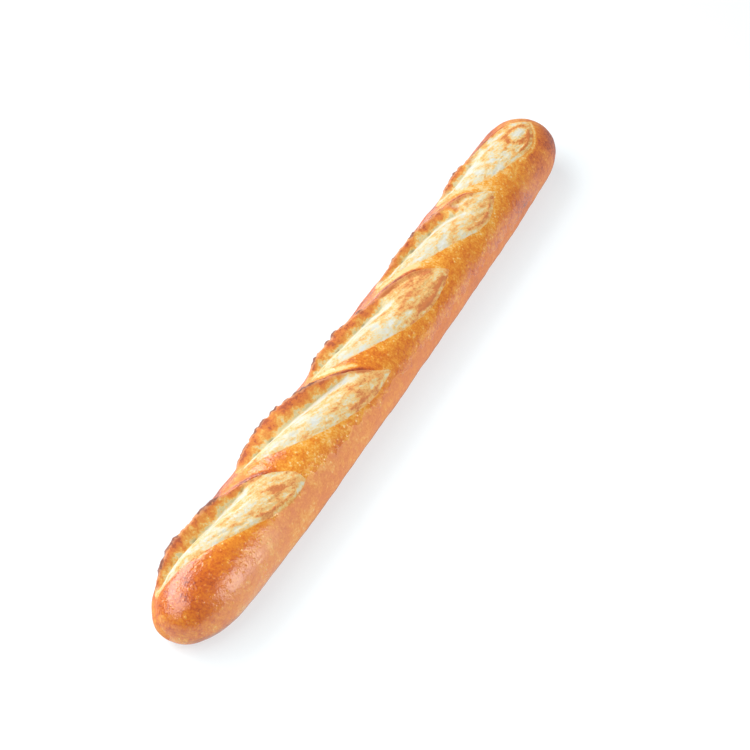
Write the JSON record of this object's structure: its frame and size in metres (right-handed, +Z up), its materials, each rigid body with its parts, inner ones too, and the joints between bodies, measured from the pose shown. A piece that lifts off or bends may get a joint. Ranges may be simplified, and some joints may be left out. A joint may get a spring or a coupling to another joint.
{
  "type": "baguette",
  "caption": "Long crusty loaf of bread with rounded ends, a flat base and slanting slashes opened along its top.",
  "frame": {"origin": "centre of the bounding box in plan, on the plane the flat base rests on", "axes": "+X along the loaf, +Y towards the side of the ears (the lifted flaps of crust), +Z up"},
  "size_m": [0.58, 0.0664, 0.0523],
  "materials": {
    "baked_crust": "golden brown baked crust with a slight gloss, pale bare crumb in the slashes"
  },
  "bodies": {
    "root": {"loaf": "baked_crust"}
  },
  "joints": []
}
